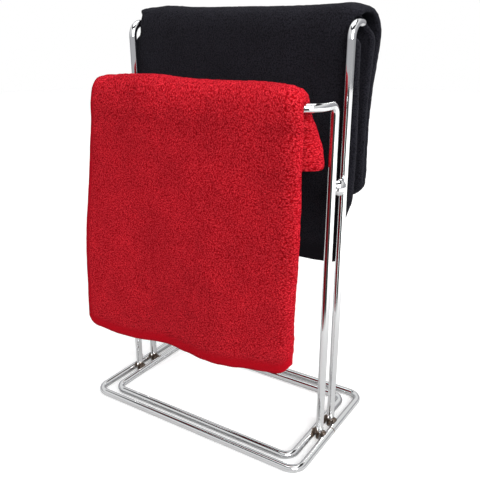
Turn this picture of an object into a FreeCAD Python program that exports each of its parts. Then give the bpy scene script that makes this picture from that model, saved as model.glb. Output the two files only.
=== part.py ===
import FreeCAD, Part

import math
import os

import Sketcher

# A two-tier towel stand bent from round steel wire, with a hand towel folded over each bar.
# Millimetres. The origin is the middle of the base on the surface that it stands on.
# X runs along the bars, -Y is the front (the lower bar), and +Z is up.

SIZES = {
    # the wire and the base
    "wire_diameter": 6.0,
    "base_width": 204.0,  # outer ring, from wire centre to wire centre
    "base_depth": 117.0,
    "outer_corner_radius": 10.0,  # of the wire's centre line, as are all bend radii here
    "inner_corner_radius": 9.0,
    "ring_gap_front": 5.0,  # free space between the rings at the front and the rear
    "weld_gap": 0.1,  # between an upright's foot and the ring on each side of it
    "weld_radius": 2.9,
    "weld_height": 4.9,
    # the hoops
    "upright_spacing": 20.0,  # front upright to rear upright, centre to centre
    "front_bar_height": 262.0,
    "rear_bar_height": 312.0,
    "front_bar_reach": 29.2,  # from the upright to its bar, centre to centre
    "rear_bar_reach": 29.2,
    "front_top_bend": 6.2,
    "rear_top_bend": 10.0,
    "plan_bend": 16.0,  # where an arm turns into its bar
    "arm_joint": 18.4,  # how far out along the arm the side and the bar meet
    # the balls between the uprights
    "ball_diameter": 12.4,
    "ball_height": 204.6,
    "neck_diameter": 5.2,
    # both towels
    "wire_clearance": 0.3,
    "slot_clearance": 0.5,
    # front towel
    "front_towel_thickness": 11.2,
    "front_towel_right": 89.5,
    "front_towel_left": 97.5,
    "front_towel_bottom": 70.0,
    "front_towel_back_bottom": 224.0,
    "front_towel_splay": 16.0,
    "front_towel_fold_radius": 12.0,
    "front_towel_corner": 12.0,
    # rear towel
    "rear_towel_cover": 8.2,  # towel above the bar
    "rear_towel_right": 98.0,
    "rear_towel_left": 96.5,
    "rear_towel_upright_gap": 1.2,  # front leg to the back of the uprights
    "rear_towel_bottom": 136.0,
    "rear_towel_wedge_height": 34.0,
    "rear_towel_hem_thickness": 5.0,
    "rear_towel_back_bottom": 184.0,
    "rear_towel_back_thickness": 10.5,
    "rear_towel_bulge": 6.5,
    "rear_towel_front_radius": 9.0,
    "rear_towel_back_radius": 15.0,
}

doc = FreeCAD.newDocument("TowelStand")
sheet = doc.addObject("Spreadsheet::Sheet", "Sizes")
for row, (alias, number) in enumerate(SIZES.items(), start=1):
    sheet.set(f"A{row}", alias)
    sheet.set(f"B{row}", str(number))
    sheet.setAlias(f"B{row}", alias)
doc.recompute()


class Length:
    """A length with its present value and the formula that ties it to the sheet."""

    def __init__(self, value, formula):
        self.value = value
        self.formula = formula

    def __add__(self, other):
        other = length(other)
        return Length(self.value + other.value, f"({self.formula} + {other.formula})")

    def __sub__(self, other):
        other = length(other)
        return Length(self.value - other.value, f"({self.formula} - {other.formula})")

    def __mul__(self, factor):
        return Length(self.value * factor, f"({self.formula} * {factor})")

    def __truediv__(self, divisor):
        return Length(self.value / divisor, f"({self.formula} / {divisor})")

    def __neg__(self):
        return Length(-self.value, f"(0 - {self.formula})")


def length(item):
    if isinstance(item, Length):
        return item
    return Length(float(item), f"{float(item)}")


def size(alias):
    return Length(SIZES[alias], f"Sizes.{alias}")


# Places that several pieces share
wire = size("wire_diameter")
wire_radius = wire / 2
half_width = size("base_width") / 2
half_depth = size("base_depth") / 2
upright_x = half_width - wire - size("weld_gap")
inner_half_width = upright_x - wire - size("weld_gap")
inner_half_depth = half_depth - wire - size("ring_gap_front")
upright_y = size("upright_spacing") / 2
front_bar_y = upright_y + size("front_bar_reach")
rear_bar_y = upright_y + size("rear_bar_reach")
arm_end = upright_y + size("arm_joint") - wire


def plane(body, role):
    return next(f for f in body.Origin.OriginFeatures if f.Role == role)


def add_body(label):
    body = doc.addObject("PartDesign::Body", label)
    body.Label = label
    return body


def add_sketch(body, role, offset, name):
    """A sketch on one of the body's own planes, moved out along that plane's normal."""
    sketch = body.newObject("Sketcher::SketchObject", f"{body.Name}_{name}")
    sketch.AttachmentSupport = (plane(body, role), [""])
    sketch.MapMode = "FlatFace"
    offset = length(offset)
    sketch.AttachmentOffset = FreeCAD.Placement(
        FreeCAD.Vector(0, 0, offset.value), FreeCAD.Rotation()
    )
    sketch.setExpression("AttachmentOffset.Base.z", offset.formula)
    return sketch


def pin(sketch, geometry, vertex, u, v):
    """Fixes a point at (u, v) from the sketch's origin, by the sheet's sizes."""
    for kind, at in (("DistanceX", u), ("DistanceY", v)):
        place = sketch.addConstraint(
            Sketcher.Constraint(kind, -1, 1, geometry, vertex, at.value)
        )
        sketch.setExpression(f"Constraints[{place}]", at.formula)


def rounded_path(sketch, corners, closed=True):
    """Draws straight runs through the corners (u, v, radius), each bend tangent to both runs."""
    corners = [(length(u), length(v), length(r)) for u, v, r in corners]
    count = len(corners)
    points = [FreeCAD.Vector(u.value, v.value, 0) for u, v, _ in corners]
    entry, leaving, middle = [], [], []
    for i, (_, _, radius) in enumerate(corners):
        bend = radius.value > 0 and (closed or 0 < i < count - 1)
        if not bend:
            entry.append(points[i])
            leaving.append(points[i])
            middle.append(None)
            continue
        back = (points[i - 1] - points[i]).normalize()
        ahead = (points[(i + 1) % count] - points[i]).normalize()
        half = back.getAngle(ahead) / 2
        reach = radius.value / math.tan(half)
        entry.append(points[i] + back * reach)
        leaving.append(points[i] + ahead * reach)
        inward = (back + ahead).normalize()
        middle.append(points[i] + inward * (radius.value / math.sin(half)))
    runs = []
    for i in range(count if closed else count - 1):
        run = Part.LineSegment(leaving[i], entry[(i + 1) % count])
        runs.append(sketch.addGeometry(run, False))
    for i, (u, v, radius) in enumerate(corners):
        before = runs[i - 1] if closed or i > 0 else None
        after = runs[i] if closed or i < count - 1 else None
        if middle[i] is None:
            if before is not None and after is not None:
                sketch.addConstraint(
                    Sketcher.Constraint("Coincident", before, 2, after, 1)
                )
            if after is not None:
                pin(sketch, after, 1, u, v)
            else:
                pin(sketch, before, 2, u, v)
            continue
        start = entry[i] - middle[i]
        stop = leaving[i] - middle[i]
        turns_left = start.cross(stop).z > 0
        first, last = (start, stop) if turns_left else (stop, start)
        circle = Part.Circle(middle[i], FreeCAD.Vector(0, 0, 1), radius.value)
        arc = Part.ArcOfCircle(
            circle, math.atan2(first.y, first.x), math.atan2(last.y, last.x)
        )
        bend = sketch.addGeometry(arc, False)
        near, far = (1, 2) if turns_left else (2, 1)
        sketch.addConstraint(Sketcher.Constraint("Tangent", before, 2, bend, near))
        sketch.addConstraint(Sketcher.Constraint("Tangent", after, 1, bend, far))
        place = sketch.addConstraint(Sketcher.Constraint("Radius", bend, radius.value))
        sketch.setExpression(f"Constraints[{place}]", radius.formula)
        corner = sketch.addGeometry(Part.Point(points[i]), True)
        pin(sketch, corner, 1, u, v)
        for run in (before, after):
            sketch.addConstraint(Sketcher.Constraint("PointOnObject", corner, 1, run))


def round_profile(sketch, u, v, diameter):
    circle = Part.Circle(
        FreeCAD.Vector(u.value, v.value, 0), FreeCAD.Vector(0, 0, 1), diameter.value / 2
    )
    geometry = sketch.addGeometry(circle, False)
    pin(sketch, geometry, 3, u, v)
    place = sketch.addConstraint(
        Sketcher.Constraint("Diameter", geometry, diameter.value)
    )
    sketch.setExpression(f"Constraints[{place}]", diameter.formula)


def bend_wire(body, name, path, profile):
    pipe = body.newObject("PartDesign::AdditivePipe", f"{body.Name}_{name}")
    pipe.Profile = profile
    pipe.Spine = path
    return pipe


# Base: two nested rings of wire, both lying on the surface
def make_ring(label, half_x, half_y, corner):
    body = add_body(label)
    path = add_sketch(body, "XY_Plane", wire_radius, "path")
    corners = [(-1, -1), (1, -1), (1, 1), (-1, 1)]
    rounded_path(path, [(half_x * i, half_y * j, corner) for i, j in corners])
    profile = add_sketch(body, "YZ_Plane", corner - half_x, "wire")
    round_profile(profile, -half_y, wire_radius, wire)
    bend_wire(body, "bend", path, profile)
    return body


make_ring("outer_base_ring", half_width, half_depth, size("outer_corner_radius"))
make_ring(
    "inner_base_ring", inner_half_width, inner_half_depth, size("inner_corner_radius")
)


# Hoops: each is one wire, up from its foot, outwards as an arm, across as the bar, and back down.
# side is -1 for the front hoop, whose arms reach forwards, and 1 for the rear one.
def make_hoop(label, side, bar_y, bar_height, top_bend):
    body = add_body(label)
    meet = arm_end * side
    bar_path = add_sketch(body, "XY_Plane", bar_height, "bar_path")
    rounded_path(
        bar_path,
        [
            (upright_x, meet, 0),
            (upright_x, bar_y * side, size("plan_bend")),
            (-upright_x, bar_y * side, size("plan_bend")),
            (-upright_x, meet, 0),
        ],
        closed=False,
    )
    # the normal of this plane is -Y
    bar_wire = add_sketch(body, "XZ_Plane", -meet, "bar_wire")
    round_profile(bar_wire, upright_x, bar_height, wire)
    bend_wire(body, "bar", bar_path, bar_wire)

    side_path = add_sketch(body, "YZ_Plane", upright_x, "side_path")
    rounded_path(
        side_path,
        [
            (upright_y * side, length(0), 0),
            (upright_y * side, bar_height, top_bend),
            (meet, bar_height, 0),
        ],
        closed=False,
    )
    foot = add_sketch(body, "XY_Plane", 0, "foot")
    round_profile(foot, upright_x, upright_y * side, wire)
    right_side = bend_wire(body, "side", side_path, foot)
    left_side = body.newObject("PartDesign::Mirrored", f"{label}_other_side")
    left_side.Originals = [right_side]
    left_side.MirrorPlane = (plane(body, "YZ_Plane"), [""])
    body.Tip = left_side
    return body


make_hoop(
    "front_hoop",
    -1,
    front_bar_y,
    size("front_bar_height"),
    size("front_top_bend"),
)
make_hoop(
    "rear_hoop",
    1,
    rear_bar_y,
    size("rear_bar_height"),
    size("rear_top_bend"),
)


# Balls: each is turned with a short neck on both sides and cupped to sit against the two uprights
def make_ball(label, side):
    body = add_body(label)
    body.Placement = FreeCAD.Placement(
        FreeCAD.Vector(side * upright_x.value, 0, SIZES["ball_height"]),
        FreeCAD.Rotation(),
    )
    body.setExpression("Placement.Base.x", (upright_x * side).formula)
    body.setExpression("Placement.Base.z", size("ball_height").formula)
    ball_radius = size("ball_diameter").value / 2
    neck_radius = size("neck_diameter").value / 2
    shoulder = math.sqrt(ball_radius**2 - neck_radius**2)
    tip = upright_y
    profile = add_sketch(body, "YZ_Plane", 0, "profile")
    corners = [
        (-tip.value, 0),
        (-tip.value, neck_radius),
        (-shoulder, neck_radius),
        (shoulder, neck_radius),
        (tip.value, neck_radius),
        (tip.value, 0),
    ]
    at = [FreeCAD.Vector(u, v, 0) for u, v in corners]
    circle = Part.Circle(FreeCAD.Vector(0, 0, 0), FreeCAD.Vector(0, 0, 1), ball_radius)
    rise = math.atan2(neck_radius, shoulder)
    edges = [
        Part.LineSegment(at[0], at[1]),
        Part.LineSegment(at[1], at[2]),
        Part.ArcOfCircle(circle, rise, math.pi - rise),
        Part.LineSegment(at[3], at[4]),
        Part.LineSegment(at[4], at[5]),
        Part.LineSegment(at[5], at[0]),
    ]
    for edge in edges:
        profile.addGeometry(edge, False)
    joins = [(0, 2, 1, 1), (1, 2, 2, 2), (2, 1, 3, 1), (3, 2, 4, 1), (4, 2, 5, 1), (5, 2, 0, 1)]
    for first, end, second, start in joins:
        profile.addConstraint(
            Sketcher.Constraint("Coincident", first, end, second, start)
        )
    profile.addConstraint(Sketcher.Constraint("Coincident", 2, 3, -1, 1))
    for flat in (1, 3):
        profile.addConstraint(Sketcher.Constraint("Horizontal", flat))
    profile.addConstraint(Sketcher.Constraint("Vertical", 0))
    profile.addConstraint(Sketcher.Constraint("Vertical", 4))
    pin(profile, 5, 2, -tip, length(0))
    pin(profile, 4, 2, tip, length(0))
    place = profile.addConstraint(Sketcher.Constraint("Radius", 2, ball_radius))
    profile.setExpression(f"Constraints[{place}]", (size("ball_diameter") / 2).formula)
    for upright_end in (0, 4):
        vertex = 2 if upright_end == 0 else 1
        place = profile.addConstraint(
            Sketcher.Constraint("DistanceY", -1, 1, upright_end, vertex, neck_radius)
        )
        profile.setExpression(
            f"Constraints[{place}]", (size("neck_diameter") / 2).formula
        )
    turned = body.newObject("PartDesign::Revolution", f"{label}_turned")
    turned.Profile = profile
    turned.ReferenceAxis = (profile, ["H_Axis"])
    turned.Angle = 360
    seats = add_sketch(body, "XY_Plane", 0, "seats")
    for end in (-1, 1):
        round_profile(seats, length(0), upright_y * end, wire)
    cups = body.newObject("PartDesign::Pocket", f"{label}_cups")
    cups.Profile = seats
    cups.Type = "ThroughAll"
    cups.Midplane = True
    return body


make_ball("right_ball", 1)
make_ball("left_ball", -1)


# Welds: a bead on each side of each foot, filling the corner between the upright and the ring
def bound(name, kind, label, values, at, turn=None):
    piece = doc.addObject(kind, name)
    piece.Label = label
    turn = turn or FreeCAD.Rotation()
    piece.Placement = FreeCAD.Placement(
        FreeCAD.Vector(*[length(value).value for value in at]), turn
    )
    for key, value in values.items():
        piece.setExpression(key, length(value).formula)
    for axis, value in zip("xyz", at):
        piece.setExpression(f"Placement.Base.{axis}", length(value).formula)
    return piece


def cut(name, base, tool):
    piece = doc.addObject("Part::Cut", name)
    piece.Label = name
    piece.Base = base
    piece.Tool = tool
    return piece


beads = []
contact = wire_radius + size("weld_gap") / 2
lies_along_y = FreeCAD.Rotation(FreeCAD.Vector(1, 0, 0), -90)
for x_side, hand in ((-1, "left"), (1, "right")):
    for y_side, end in ((-1, "front"), (1, "rear")):
        for ring_x, which, inner in ((half_width, "outer", 1), (inner_half_width, "inner", -1)):
            name = f"{hand}_{end}_{which}"
            foot_x, foot_y = upright_x * x_side, upright_y * y_side
            bead_x = (upright_x + contact * inner) * x_side
            bead = bound(
                f"{name}_bead",
                "Part::Sphere",
                f"{name}_bead",
                {"Radius": size("weld_radius")},
                (bead_x, foot_y, size("weld_height")),
            )
            upright = bound(
                f"{name}_upright",
                "Part::Cylinder",
                f"{name}_upright",
                {"Radius": wire_radius, "Height": wire * 3},
                (foot_x, foot_y, 0),
            )
            run = bound(
                f"{name}_run",
                "Part::Cylinder",
                f"{name}_run",
                {"Radius": wire_radius, "Height": half_depth},
                (ring_x * x_side, -half_depth / 2, wire_radius),
                lies_along_y,
            )
            seated = cut(f"{name}_seated", bead, upright)
            beads.append(cut(f"{name}_weld", seated, run))
welds = doc.addObject("Part::Compound", "foot_welds")
welds.Label = "foot_welds"
welds.Links = beads


# Towels: a section across the towel is a thick U upside down, and it is lofted from side to side.
def loft_towel(body, sections):
    """sections is a list of (x, corners in Y and Z), all with the same number of corners."""
    sketches = []
    for number, (x, corners) in enumerate(sections):
        sketch = add_sketch(body, "YZ_Plane", x, f"section_{number}")
        rounded_path(sketch, corners)
        sketches.append(sketch)
    loft = body.newObject("PartDesign::AdditiveLoft", f"{body.Name}_form")
    loft.Profile = sketches[0]
    loft.Sections = sketches[1:]
    return loft


def trim_towel(body, outline, reach):
    """Rounds the towel's corners: everything outside the outline in X and Z is cut away."""
    sketch = add_sketch(body, "XZ_Plane", 0, "outline")
    rounded_path(sketch, outline)
    far = reach
    rounded_path(
        sketch, [(-far, -far, 0), (far, -far, 0), (far, far * 2, 0), (-far, far * 2, 0)]
    )
    trim = body.newObject("PartDesign::Pocket", f"{body.Name}_trim")
    trim.Profile = sketch
    trim.Type = "ThroughAll"
    trim.Midplane = True
    return trim


def free_the_arms(body, side, bar_y, bar_height):
    """Cuts away what would lie under the hoop's arms and bends, so that the towel lifts off."""
    clearance = size("wire_clearance")
    plan_bend = size("plan_bend")
    inside = upright_x - wire_radius - clearance
    inside_bar = (bar_y - wire_radius - clearance) * side
    under_bar = (bar_y + wire_radius + clearance) * side
    inner_bend = plan_bend - wire_radius - clearance
    bend_start = inside - inner_bend - 2
    beyond = half_width + wire
    sketch = add_sketch(
        body, "XY_Plane", bar_height + wire_radius + clearance, "arm_room"
    )
    for end in (-1, 1):
        rounded_path(
            sketch,
            [
                (bend_start * end, under_bar, 0),
                (bend_start * end, inside_bar, 0),
                (inside * end, inside_bar, inner_bend),
                (inside * end, -upright_y * side, 0),
                (beyond * end, -upright_y * side, 0),
                (beyond * end, under_bar, 0),
            ],
        )
    room = body.newObject("PartDesign::Pocket", f"{body.Name}_arm_room")
    room.Profile = sketch
    room.Type = "ThroughAll"
    return room


# Front towel: hangs low in front of the front bar, with a short back part that stands off
front_towel = add_body("front_towel")
slot = wire_radius + size("slot_clearance")
slot_bend = slot - 0.3
fold = slot + size("front_towel_thickness")
front_z = size("front_bar_height")
bottom = size("front_towel_bottom")
splay = size("front_towel_splay")
# where each section lies in X, how far its hem swings forwards, and how much shorter it hangs
FRONT_FOLDS = [
    (-size("front_towel_left"), 8.0, 2.0),
    (-size("front_towel_left") * 0.62, 3.0, -2.5),
    (-size("front_towel_left") * 0.24, 1.0, 2.0),
    (size("front_towel_right") * 0.22, 6.5, -1.0),
    (size("front_towel_right") * 0.62, 4.0, 3.5),
    (size("front_towel_right"), 1.0, 9.0),
]
front_sections = []
for x, swing, shorter in FRONT_FOLDS:
    hem = bottom + shorter
    front_sections.append(
        (
            x,
            [
                (-front_bar_y - fold - swing, hem, 4.0),
                (-front_bar_y - fold - swing * 0.3, front_z - 20, 40.0),
                (-front_bar_y - fold, front_z + fold, size("front_towel_fold_radius")),
                (-front_bar_y + fold, front_z + fold, size("front_towel_fold_radius")),
                (-front_bar_y + fold, front_z, 8.0),
                (-front_bar_y + fold + splay, size("front_towel_back_bottom"), 5.0),
                (-front_bar_y + slot + 2, size("front_towel_back_bottom") - 2, 3.0),
                (-front_bar_y + slot, front_z + slot, slot_bend),
                (-front_bar_y - slot, front_z + slot, slot_bend),
                (-front_bar_y - slot - swing, hem, 4.0),
            ],
        )
    )
loft_towel(front_towel, front_sections)
left = size("front_towel_left")
right = size("front_towel_right")
top = front_z + fold
corner = size("front_towel_corner")
trim_towel(
    front_towel,
    [
        (-left, bottom - 8, 0),
        (right, bottom - 8, corner),
        (right + 0.5, top + 1, corner),
        (-left + 17, top + 1, corner + 3),
        (-left + 6.5, bottom + 130, 60.0),
        (-left - 0.5, bottom + 40, 0),
    ],
    size("rear_bar_height"),
)
free_the_arms(front_towel, -1, front_bar_y, front_z)

# Rear towel: a thicker stack, flat on top, whose inner layers end higher than its front hem
rear_towel = add_body("rear_towel")
rear_z = size("rear_bar_height")
cover = slot + size("rear_towel_cover")
front_face = upright_y + wire_radius + size("rear_towel_upright_gap")
back_face = rear_bar_y + slot + size("rear_towel_back_thickness")
wedge_top = size("rear_towel_bottom") + size("rear_towel_wedge_height")
hem_back = front_face + size("rear_towel_hem_thickness")
REAR_FOLDS = [
    (-size("rear_towel_left"), 1.0, 0.0, 3.0),
    (-size("rear_towel_left") * 0.5, 0.0, 1.5, 0.0),
    (size("rear_towel_right") * 0.0, 0.5, 0.0, -1.0),
    (size("rear_towel_right") * 0.5, 0.0, 2.0, 1.0),
    (size("rear_towel_right"), 0.5, 3.0, 2.0),
]
rear_sections = []
for x, set_back, swing, shorter in REAR_FOLDS:
    hem = size("rear_towel_bottom") + shorter
    rear_sections.append(
        (
            x,
            [
                (front_face + set_back, hem, 2.0),
                (front_face + set_back, rear_z + cover, size("rear_towel_front_radius")),
                (
                    back_face + size("rear_towel_bulge"),
                    rear_z + cover,
                    size("rear_towel_back_radius"),
                ),
                (back_face + size("rear_towel_bulge"), rear_z - 18, 25.0),
                (back_face + swing, rear_z - 60, 60.0),
                (back_face + swing, size("rear_towel_back_bottom"), 4.0),
                (rear_bar_y + slot + swing, size("rear_towel_back_bottom"), 4.0),
                (rear_bar_y + slot, rear_z + slot, slot_bend),
                (rear_bar_y - slot, rear_z + slot, slot_bend),
                (rear_bar_y - slot, wedge_top + 6, 6.0),
                (hem_back + 2, wedge_top - 16, 6.0),
                (hem_back, hem, 2.0),
            ],
        )
    )
loft_towel(rear_towel, rear_sections)
free_the_arms(rear_towel, 1, rear_bar_y, rear_z)

doc.recompute()

NODES = [
    "outer_base_ring",
    "inner_base_ring",
    "front_hoop",
    "rear_hoop",
    "right_ball",
    "left_ball",
    "foot_welds",
    "front_towel",
    "rear_towel",
]
for item in doc.Objects:
    faults = [state for state in item.State if state in ("Invalid", "Error")]
    if faults:
        raise RuntimeError(f"{item.Label} is {faults}")
for label in NODES:
    shape = doc.getObject(label).Shape
    if shape.isNull() or not shape.isValid():
        raise RuntimeError(f"{label} has no valid shape")

os.makedirs("parts", exist_ok=True)
for label in NODES:
    shape = doc.getObject(label).Shape
    shape.exportStep(f"parts/{label}.step")
    box = shape.BoundBox
    print(
        f"{label}: {len(shape.Solids)} solid(s), {shape.Volume:.0f} mm3, "
        f"X {box.XMin:.1f}..{box.XMax:.1f} Y {box.YMin:.1f}..{box.YMax:.1f} "
        f"Z {box.ZMin:.1f}..{box.ZMax:.1f}"
    )
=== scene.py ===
# %% [markdown]
# # A wire towel stand with two terry towels
# The stand is four bent chrome wires, welded at the feet and joined by a small ball on each side.
# A red hand towel hangs over the lower front bar and a black one over the higher rear bar.
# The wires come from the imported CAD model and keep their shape. The towels are made here.

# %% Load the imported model
import math

import bpy
import numpy as np
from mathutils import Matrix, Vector, noise


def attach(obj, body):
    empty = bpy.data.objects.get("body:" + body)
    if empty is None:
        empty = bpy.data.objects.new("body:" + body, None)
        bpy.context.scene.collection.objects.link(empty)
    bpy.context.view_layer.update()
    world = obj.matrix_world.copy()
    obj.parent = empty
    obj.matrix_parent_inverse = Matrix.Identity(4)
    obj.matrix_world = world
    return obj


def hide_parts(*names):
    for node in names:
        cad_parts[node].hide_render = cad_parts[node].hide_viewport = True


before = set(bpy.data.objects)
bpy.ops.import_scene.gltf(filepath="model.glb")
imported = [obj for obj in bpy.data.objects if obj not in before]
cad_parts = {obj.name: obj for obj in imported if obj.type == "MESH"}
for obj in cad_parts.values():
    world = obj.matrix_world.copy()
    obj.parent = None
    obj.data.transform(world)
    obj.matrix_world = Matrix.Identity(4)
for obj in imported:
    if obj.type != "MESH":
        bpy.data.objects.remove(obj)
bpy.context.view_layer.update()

MM = 0.001  # one millimetre in Blender's metres


# %% [markdown]
# ## Colours of the render
# A material should look as it was written, so the view transform is Standard and the rest stays at
# its defaults.

# %% View settings
scene = bpy.context.scene
scene.view_settings.view_transform = "Standard"
print("view transform", scene.view_settings.view_transform)

# %% [markdown]
# ## Camera
# The photograph looks at the stand from its right front corner and a little from above. The place,
# the turn and the lens were solved from about 50 readings of the wires' edges and widths.

# %% Camera
CAMERA_PLACE = (0.26499, -0.37796, 0.30928)
CAMERA_DOWN = 20.807  # degrees below level
CAMERA_LEFT = 32.469  # degrees to the left of straight back
camera = bpy.data.objects.new("camera", bpy.data.cameras.new("camera"))
scene.collection.objects.link(camera)
camera.location = CAMERA_PLACE
camera.rotation_euler = (math.radians(90 - CAMERA_DOWN), 0, math.radians(CAMERA_LEFT))
camera.data.lens = 45.10
camera.data.sensor_width = 36
camera.data.shift_x = -0.0233
camera.data.shift_y = 0.0324
camera.data.clip_start = 0.01
scene.camera = camera
print("camera at", tuple(round(value, 3) for value in camera.location))

# %% [markdown]
# ## Nodes in code
# A material is a small graph. These helpers add a node and give its sockets their values. A value is
# a fixed one or the output of another node, so each material below reads as a short list.


# %% Helpers that add a node
def fill(tree, made, values):
    """Give a node's sockets, by name or number, fixed values or the outputs of other nodes."""
    for socket, value in values.items():
        if isinstance(value, bpy.types.NodeSocket):
            tree.links.new(value, made.inputs[socket])
        else:
            made.inputs[socket].default_value = value


def node(tree, kind, place, values=None, **settings):
    """Add a node at its place in the graph, with its settings and its sockets' values."""
    made = tree.nodes.new(kind)
    made.location = place
    for key, value in settings.items():
        setattr(made, key, value)
    fill(tree, made, values or {})
    return made


def new_material(name):
    """A material with one Principled shader, which is filled in later."""
    material = bpy.data.materials.new(name)
    material.use_nodes = True
    tree = material.node_tree
    tree.nodes.clear()
    shader = node(tree, "ShaderNodeBsdfPrincipled", (600, 0))
    node(tree, "ShaderNodeOutputMaterial", (900, 0), {"Surface": shader.outputs["BSDF"]})
    return material, tree, shader


def new_group(name, inputs, outputs):
    """A node group with named sockets, and the two ends that its inner nodes join."""
    group = bpy.data.node_groups.new(name, "ShaderNodeTree")
    for in_out, sockets in (("INPUT", inputs), ("OUTPUT", outputs)):
        for socket, kind in sockets.items():
            group.interface.new_socket(socket, in_out=in_out, socket_type=kind)
    given = node(group, "NodeGroupInput", (-1300, 0)).outputs
    result = node(group, "NodeGroupOutput", (900, 0))
    return group, given, result


print("helpers that add a node are ready")


# %% Helpers that add one step of a graph and give its output
def number_math(tree, operation, values, place):
    values = dict(enumerate(values))
    return node(tree, "ShaderNodeMath", place, values, operation=operation).outputs["Value"]


def vector_math(tree, operation, values, place):
    """A Vector Math node. A length or a dot product comes out as a number."""
    values = dict(enumerate(values))
    made = node(tree, "ShaderNodeVectorMath", place, values, operation=operation)
    return made.outputs["Value" if operation in ("LENGTH", "DOT_PRODUCT") else "Vector"]


def map_range(tree, value, limits, place, soft=False):
    """A value moved from one pair of limits to another, with soft ends where asked."""
    from_min, from_max, to_min, to_max = limits
    values = {"Value": value, "From Min": from_min, "From Max": from_max, "To Min": to_min, "To Max": to_max}
    kind = "SMOOTHSTEP" if soft else "LINEAR"
    return node(tree, "ShaderNodeMapRange", place, values, interpolation_type=kind).outputs["Result"]


def ramp(tree, value, stops, place):
    """A colour for each value, straight from one stop to the next."""
    made = node(tree, "ShaderNodeValToRGB", place, {"Fac": value})
    elements = made.color_ramp.elements
    while len(elements) < len(stops):
        elements.new(0.5)
    for element, (position, colour) in zip(elements, stops):
        element.position = position
        element.color = (*colour, 1)
    return made.outputs["Color"]


# the numbers of a Mix node's sockets: first value, second value and result
MIX_SOCKETS = {"FLOAT": (2, 3, 0), "RGBA": (6, 7, 2)}


def mix(tree, kind, factor, first, second, place):
    """The first value where the factor is 0, and the second where it is 1."""
    a, b, result = MIX_SOCKETS[kind]
    values = {"Factor": factor, a: first, b: second}
    return node(tree, "ShaderNodeMix", place, values, data_type=kind).outputs[result]


def noise_texture(tree, where, scale, detail, place, distortion=0.0):
    values = {"Vector": where, "Scale": scale, "Detail": detail, "Distortion": distortion}
    return node(tree, "ShaderNodeTexNoise", place, values).outputs["Fac"]


def bump(tree, height, strength, distance, place):
    values = {"Height": height, "Strength": strength, "Distance": distance}
    return node(tree, "ShaderNodeBump", place, values).outputs["Normal"]


print("helpers that add one step are ready")

# %% [markdown]
# ## Floor
# A white sweep has no edge, so the floor is a wide pale disc, and what the camera sees of it is
# lifted to white by a little light of its own. Lamps and shadows still fall on it. Chrome is a
# mirror, and it would be blank over a floor that is the same all over. So the rays that come from
# other surfaces meet a dark card in front of the stand, and metal also sees a bright side towards
# the key lamp.

# %% Floor disc
FLOOR_RADIUS = 3.0
bpy.ops.object.select_all(action="DESELECT")
bpy.ops.mesh.primitive_circle_add(vertices=96, radius=FLOOR_RADIUS, fill_type="NGON", location=(0, 0, 0))
floor = bpy.context.object
floor.name = "floor"
pale_floor = bpy.data.materials.new("pale_floor")
pale_floor.use_nodes = True
tree = pale_floor.node_tree
tree.nodes.clear()
rays = node(tree, "ShaderNodeLightPath", (-500, -100)).outputs
place = node(tree, "ShaderNodeTexCoord", (-1700, -300)).outputs["Object"]
print("floor", floor.dimensions[:])

# %% The floor's own light for the camera
GLOW_STARTS, GLOW_FULL = 0.30, 1.20  # metres from the middle
GLOW_NEAR, GLOW_FAR = 0.34, 0.62
from_middle = vector_math(tree, "LENGTH", [place], (-1500, -100))
glow_limits = (GLOW_STARTS, GLOW_FULL, GLOW_NEAR, GLOW_FAR)
glow = map_range(tree, from_middle, glow_limits, (-1300, -100), soft=True)
for_camera = number_math(tree, "MULTIPLY", [glow, rays["Is Camera Ray"]], (-300, -100))
print("the camera sees the floor lifted by", GLOW_NEAR, "to", GLOW_FAR)

# %% The dark card
# it is laid out from the right uprights, whose reflections show most
RIGHT_UPRIGHTS = (0.096, 0, 0)
TOWARDS_CAMERA = (0.326, -0.946, 0)
CARD_EDGE = (math.radians(30), math.radians(25))  # it fades in between these angles
CARD_STARTS, CARD_FULL = 0.19, 0.26  # metres from the uprights
CARD_SHADE = 0.04
from_wire = vector_math(tree, "SUBTRACT", [place, RIGHT_UPRIGHTS], (-1500, -400))
far_off = vector_math(tree, "LENGTH", [from_wire], (-1300, -400))
heading = vector_math(tree, "NORMALIZE", [from_wire], (-1300, -600))
to_camera = vector_math(tree, "DOT_PRODUCT", [heading, TOWARDS_CAMERA], (-1100, -600))
sector = [round(math.cos(angle), 3) for angle in CARD_EDGE]
in_sector = map_range(tree, to_camera, (*sector, 0, 1), (-900, -600), soft=True)
beyond = map_range(tree, far_off, (CARD_STARTS, CARD_FULL, 0, 1), (-900, -400), soft=True)
card = number_math(tree, "MULTIPLY", [in_sector, beyond], (-700, -500))
no_card = map_range(tree, card, (0, 1, 1, CARD_SHADE), (-500, -500))
print("the card's sector lies between the cosines", sector)

# %% The bright side
TOWARDS_KEY = (0.98, -0.2, 0)
BRIGHT_SIDE = (-0.1, 0.6, 0.25, 1)  # from and to which cosine it grows, and how bright it is there
BRIGHT_FAR = (0.14, 0.45, 0, 0.95)  # the same for metres from the uprights
to_key = vector_math(tree, "DOT_PRODUCT", [heading, TOWARDS_KEY], (-1100, -800))
bright_side = map_range(tree, to_key, BRIGHT_SIDE, (-900, -800), soft=True)
bright_far = map_range(tree, far_off, BRIGHT_FAR, (-900, -1000), soft=True)
bright = number_math(tree, "MULTIPLY", [bright_side, bright_far], (-700, -900))
bright = number_math(tree, "MULTIPLY", [bright, no_card], (-300, -900))
for_metal = number_math(tree, "MULTIPLY", [bright, rays["Is Glossy Ray"]], (-100, -900))
print("metal sees the floor lifted by up to", BRIGHT_FAR[-1])

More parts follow.
